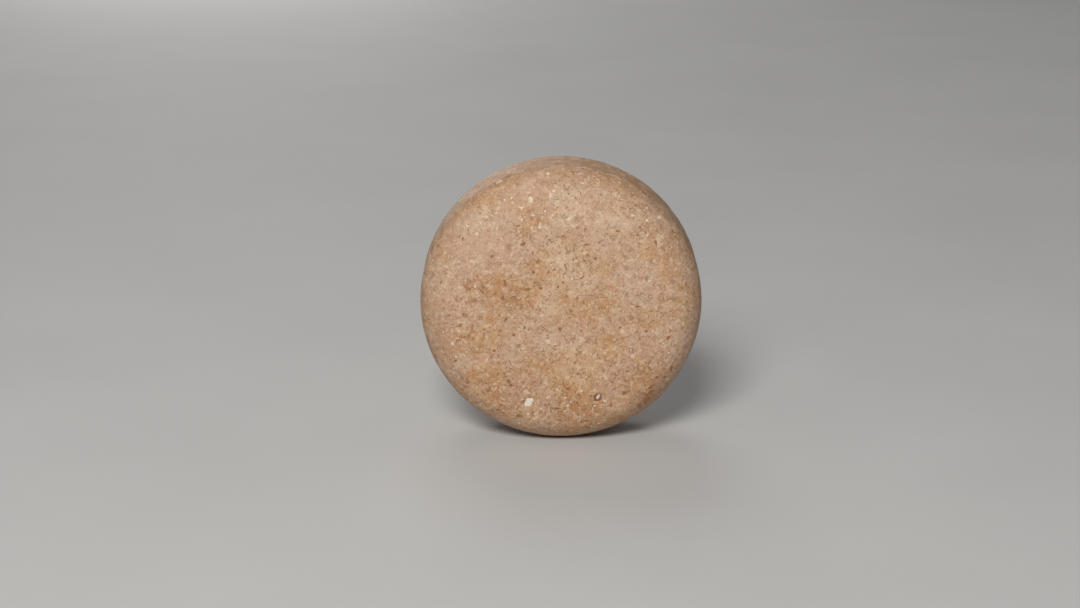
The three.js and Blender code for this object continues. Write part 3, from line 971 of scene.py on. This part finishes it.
def soap_material():
    board = Board("pressed_clay_soap")
    colour, height, gritty, stained = soap_pattern(board)
    painted_hole_shade = board.add("ShaderNodeAttribute", {"attribute_name": "hollow"}, output="Fac")
    # Painted shade: the deeper a corner lies in a hole, the more it turns dark brown.
    colour = board.blend(painted_hole_shade * 0.38, colour, HOLE_SHADE_BROWN)
    roughness = 0.56 + (gritty - 0.5) * 0.35 - stained * 0.06
    return board.finish(colour, roughness, height, GRAIN_RELIEF, IOR=SOAP_IOR, Specular_IOR_Level=SOAP_GLOSS,
                        Subsurface_Weight=0.08, Subsurface_Scale=0.4 * MM)


# %% [markdown]
# ## Grains, bran and husk
#
# One recipe serves everything that is bedded in the soap: two tones blended by a noise about as large
# as the piece, so that neighbours differ, a fine mottle over it, and a bump. Where a piece isn't firm it
# takes the soap's own pattern instead. Both read the same places, so the pattern runs on across the
# edge without a seam. Only the big white chip is firm everywhere.

# %% Materials for what is bedded in the soap
FLECK_DRIFT = 1.3       # how wide the light and dark areas of a fleck are, in millimetres
MOTTLE_SIZE = 0.24
WAX_RELIEF = 0.04


def mottled(board, size, light, dark):
    """Two tones and a mottle; the size is that of the drift between the tones."""
    place = board.place((size * 7, size * 3, size * 5))
    drift = board.rise(board.cloud(place, size, 2.0), 0.35, 0.65)
    mottle = board.cloud(place, MOTTLE_SIZE, 3.0, 0.65)
    colour = board.blend(drift, light, dark)
    return board.blend(board.rise(mottle, 0.48, 0.78) * 0.5, colour, dark), mottle


def bedded_material(name, light, dark, size, rough):
    board = Board(name)
    colour, mottle = mottled(board, size, light, dark)
    return board.finish(colour, rough + (mottle - 0.5) * 0.3, mottle, WAX_RELIEF, IOR=SOAP_IOR)


def fleck_material(name, light, dark, rough, cover=None):
    """Firm places have the two tones. The rest has the soap's own pattern, or the colour of the cover."""
    board = Board(name)
    colour, mottle = mottled(board, FLECK_DRIFT, light, dark)
    soap, height, gritty, _ = soap_pattern(board)
    firm = board.add("ShaderNodeAttribute", {"attribute_name": "firm"}, output="Fac")
    firm = board.rise(firm + gritty - 0.5, 0.08, 0.62)
    colour = board.blend(firm, soap if cover is None else cover, colour)
    return board.finish(colour, rough + (mottle - 0.5) * 0.3, height, GRAIN_RELIEF,
                        IOR=SOAP_IOR, Specular_IOR_Level=SOAP_GLOSS)


FINISHES = {
    "white_soap_base": bedded_material("white_soap_base", (0.86, 0.77, 0.63, 1), (0.68, 0.56, 0.42, 1),
                                       1.6, 0.5),
    "cream_soap_base": fleck_material("cream_soap_base", (0.80, 0.62, 0.44, 1), (0.66, 0.49, 0.34, 1), 0.52),
    "bran": fleck_material("bran_husk", (0.390, 0.200, 0.098, 1), (0.270, 0.132, 0.062, 1), 0.68),
    "husk": fleck_material("seed_husk", (0.290, 0.135, 0.058, 1), (0.180, 0.086, 0.040, 1), 0.6),
    "kernel": fleck_material("seed_kernel", (0.78, 0.64, 0.54, 1), (0.66, 0.51, 0.41, 1), 0.5,
                             cover=(0.300, 0.160, 0.085, 1)),
    "pale_flecks": fleck_material("pale_fleck", (0.80, 0.64, 0.47, 1), (0.64, 0.48, 0.33, 1), 0.52),
    "brown_flecks": fleck_material("brown_fleck", (0.380, 0.210, 0.115, 1), (0.240, 0.130, 0.070, 1), 0.66),
    "rust_flecks": fleck_material("rust_fleck", (0.400, 0.183, 0.083, 1), (0.300, 0.134, 0.059, 1), 0.64),
    "white_specks": fleck_material("white_speck_finish", (0.93, 0.87, 0.78, 1), (0.82, 0.73, 0.62, 1), 0.5),
}
soap_finish = soap_material()

# %% [markdown]
# ## Put the pieces together
#
# Every piece rides on the one body of the measured model. A grain takes the finish of its measured
# solid's material slot in the record, and that solid is hidden; so is the measured block.

# %% Dress the pieces and hide the measured ones
SHARP_EDGE = math.radians(38)


def dress(piece, material):
    piece.data.materials.clear()
    piece.data.materials.append(material)
    piece.data.polygons.foreach_set("use_smooth", [True] * len(piece.data.polygons))
    piece.data.set_sharp_from_angle(angle=SHARP_EDGE)
    piece.data.update()
    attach(piece, "root")


slot_of_node = {part["node"]: part["material_slot"] for part in frame["record"]["subparts"]}
dress(soap_block, soap_finish)
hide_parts("soap_body")
for node, grain in grains.items():
    slot = slot_of_node[node]
    dress(grain, FINISHES[slot])
    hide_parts(node)
for kind, piece in flecks.items():
    dress(piece, FINISHES[kind])

# %% [markdown]
# ## The studio
#
# A plain pale floor, a soft light in front, a little above and to the left, two weaker ones behind the
# puck and a dim grey world: a window at the viewer's back on a dull day. The camera has a long lens and
# looks down on the standing puck, which sits a little right of the middle.

# %% Floor
FLOOR_SIZE = 6.0


def floor_material():
    board = Board("pale_floor")
    place = board.place()
    soft = board.cloud(place, 60.0, 3.0)
    colour = board.blend(soft, (0.50, 0.495, 0.485, 1), (0.56, 0.555, 0.545, 1))
    return board.finish(colour, 0.75 + soft * 0.05, soft, 0.05)


floor_build = bmesh.new()
bmesh.ops.create_grid(floor_build, x_segments=8, y_segments=8, size=FLOOR_SIZE / 2)
floor_mesh = bpy.data.meshes.new("floor")
floor_build.to_mesh(floor_mesh)
floor_build.free()
floor = new_piece("floor", floor_mesh)
floor.location = (0, 0, cad_low.z)
floor.data.materials.append(floor_material())


# %% Lights
def soft_box(name, place, size, power, tint):
    """A square area light that faces the puck."""
    light = bpy.data.lights.new(name, "AREA")
    light.shape = "SQUARE"
    light.size = size
    light.energy = power
    light.color = tint
    lamp = bpy.data.objects.new(name, light)
    lamp.location = MIDDLE + Vector(place)
    lamp.rotation_euler = Vector(place).to_track_quat("Z", "Y").to_euler()
    bpy.context.scene.collection.objects.link(lamp)


soft_box("window", (-0.19, -0.80, 0.70), 0.36, 9.8, (1.0, 0.985, 0.96))
soft_box("back_window", (-0.20, 0.85, 1.0), 0.6, 3.1, (1.0, 0.99, 0.97))
soft_box("low_back_window", (-0.22, 0.98, 0.10), 0.3, 0.9, (1.0, 0.99, 0.97))
world = bpy.data.worlds.new("dull_day")
world.use_nodes = True
world.node_tree.nodes["Background"].inputs["Color"].default_value = (0.93, 0.96, 1.0, 1)
world.node_tree.nodes["Background"].inputs["Strength"].default_value = 0.14
bpy.context.scene.world = world
bpy.context.scene.view_settings.view_transform = "Standard"

# %% Camera
LENS = 75.0
SENSOR = 36.0
LOOK_DOWN = math.radians(16.7)
DISTANCE = 562.4                # along the camera's axis, in millimetres as the two below
PUCK_RIGHT_OF_CENTRE = 5.2      # how far the puck's middle lies right of and above the camera's axis
PUCK_ABOVE_CENTRE = 1.8
forward = Vector((0, math.cos(LOOK_DOWN), -math.sin(LOOK_DOWN)))
upward = Vector((0, math.sin(LOOK_DOWN), math.cos(LOOK_DOWN)))
camera_data = bpy.data.cameras.new("camera")
camera_data.lens = LENS
camera_data.sensor_width = SENSOR
camera = bpy.data.objects.new("camera", camera_data)
back_off = forward * DISTANCE + Vector((PUCK_RIGHT_OF_CENTRE, 0, 0)) + upward * PUCK_ABOVE_CENTRE
camera.location = MIDDLE - back_off * MM
camera.rotation_euler = (math.pi / 2 - LOOK_DOWN, 0, 0)
bpy.context.scene.collection.objects.link(camera)
bpy.context.scene.camera = camera
